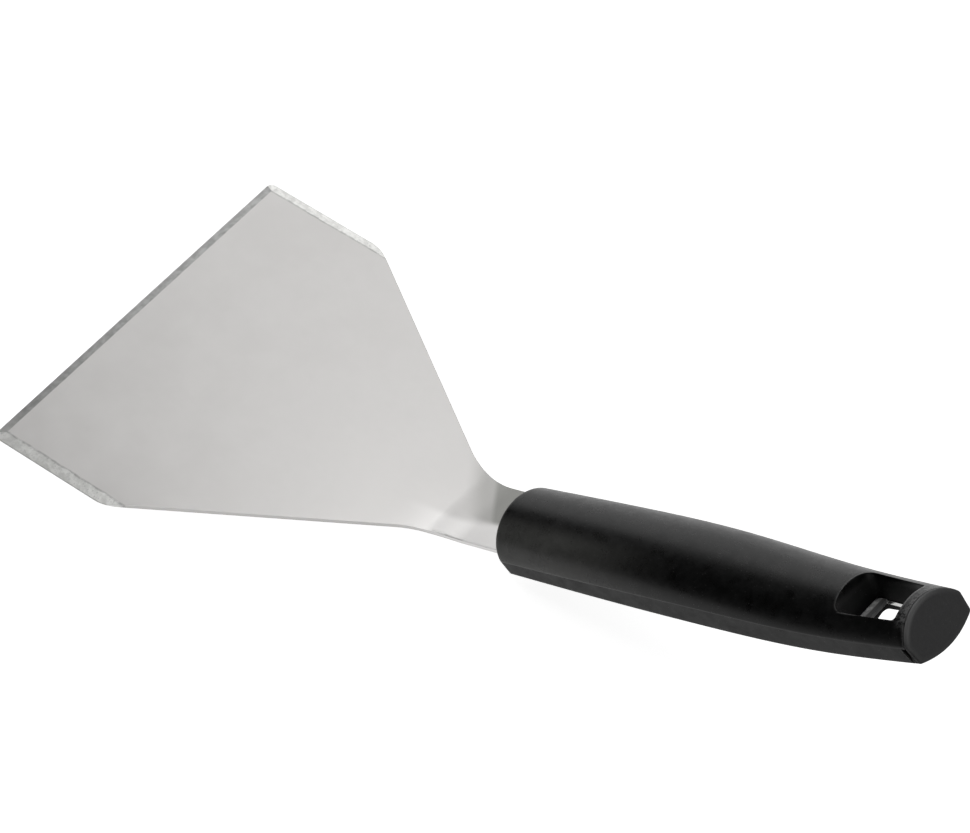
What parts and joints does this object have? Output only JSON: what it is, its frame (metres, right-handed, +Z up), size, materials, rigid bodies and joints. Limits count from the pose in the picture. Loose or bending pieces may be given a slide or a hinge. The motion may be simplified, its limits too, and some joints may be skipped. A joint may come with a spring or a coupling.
{
  "type": "griddle scraper",
  "caption": "Wide tapered steel griddle scraper blade with ground edges and a raised neck, on a moulded plastic handle with a hanging slot.",
  "frame": {"origin": "centre of the footprint, on the plane that the blade's underside lies on", "axes": "+X from the blade's front edge towards the end of the handle, +Y across the blade, +Z up"},
  "size_m": [0.348, 0.1524, 0.0939],
  "materials": {
    "blade_steel": "fine satin, ground along three edges",
    "handle_plastic": "satin black with a fine moulded texture",
    "cap_plastic": "matt black, slightly scuffed on the rim"
  },
  "bodies": {
    "root": {"blade": "blade_steel", "upper_handle_shell": "handle_plastic", "lower_handle_shell": "handle_plastic", "end_cap": "cap_plastic"}
  },
  "joints": []
}
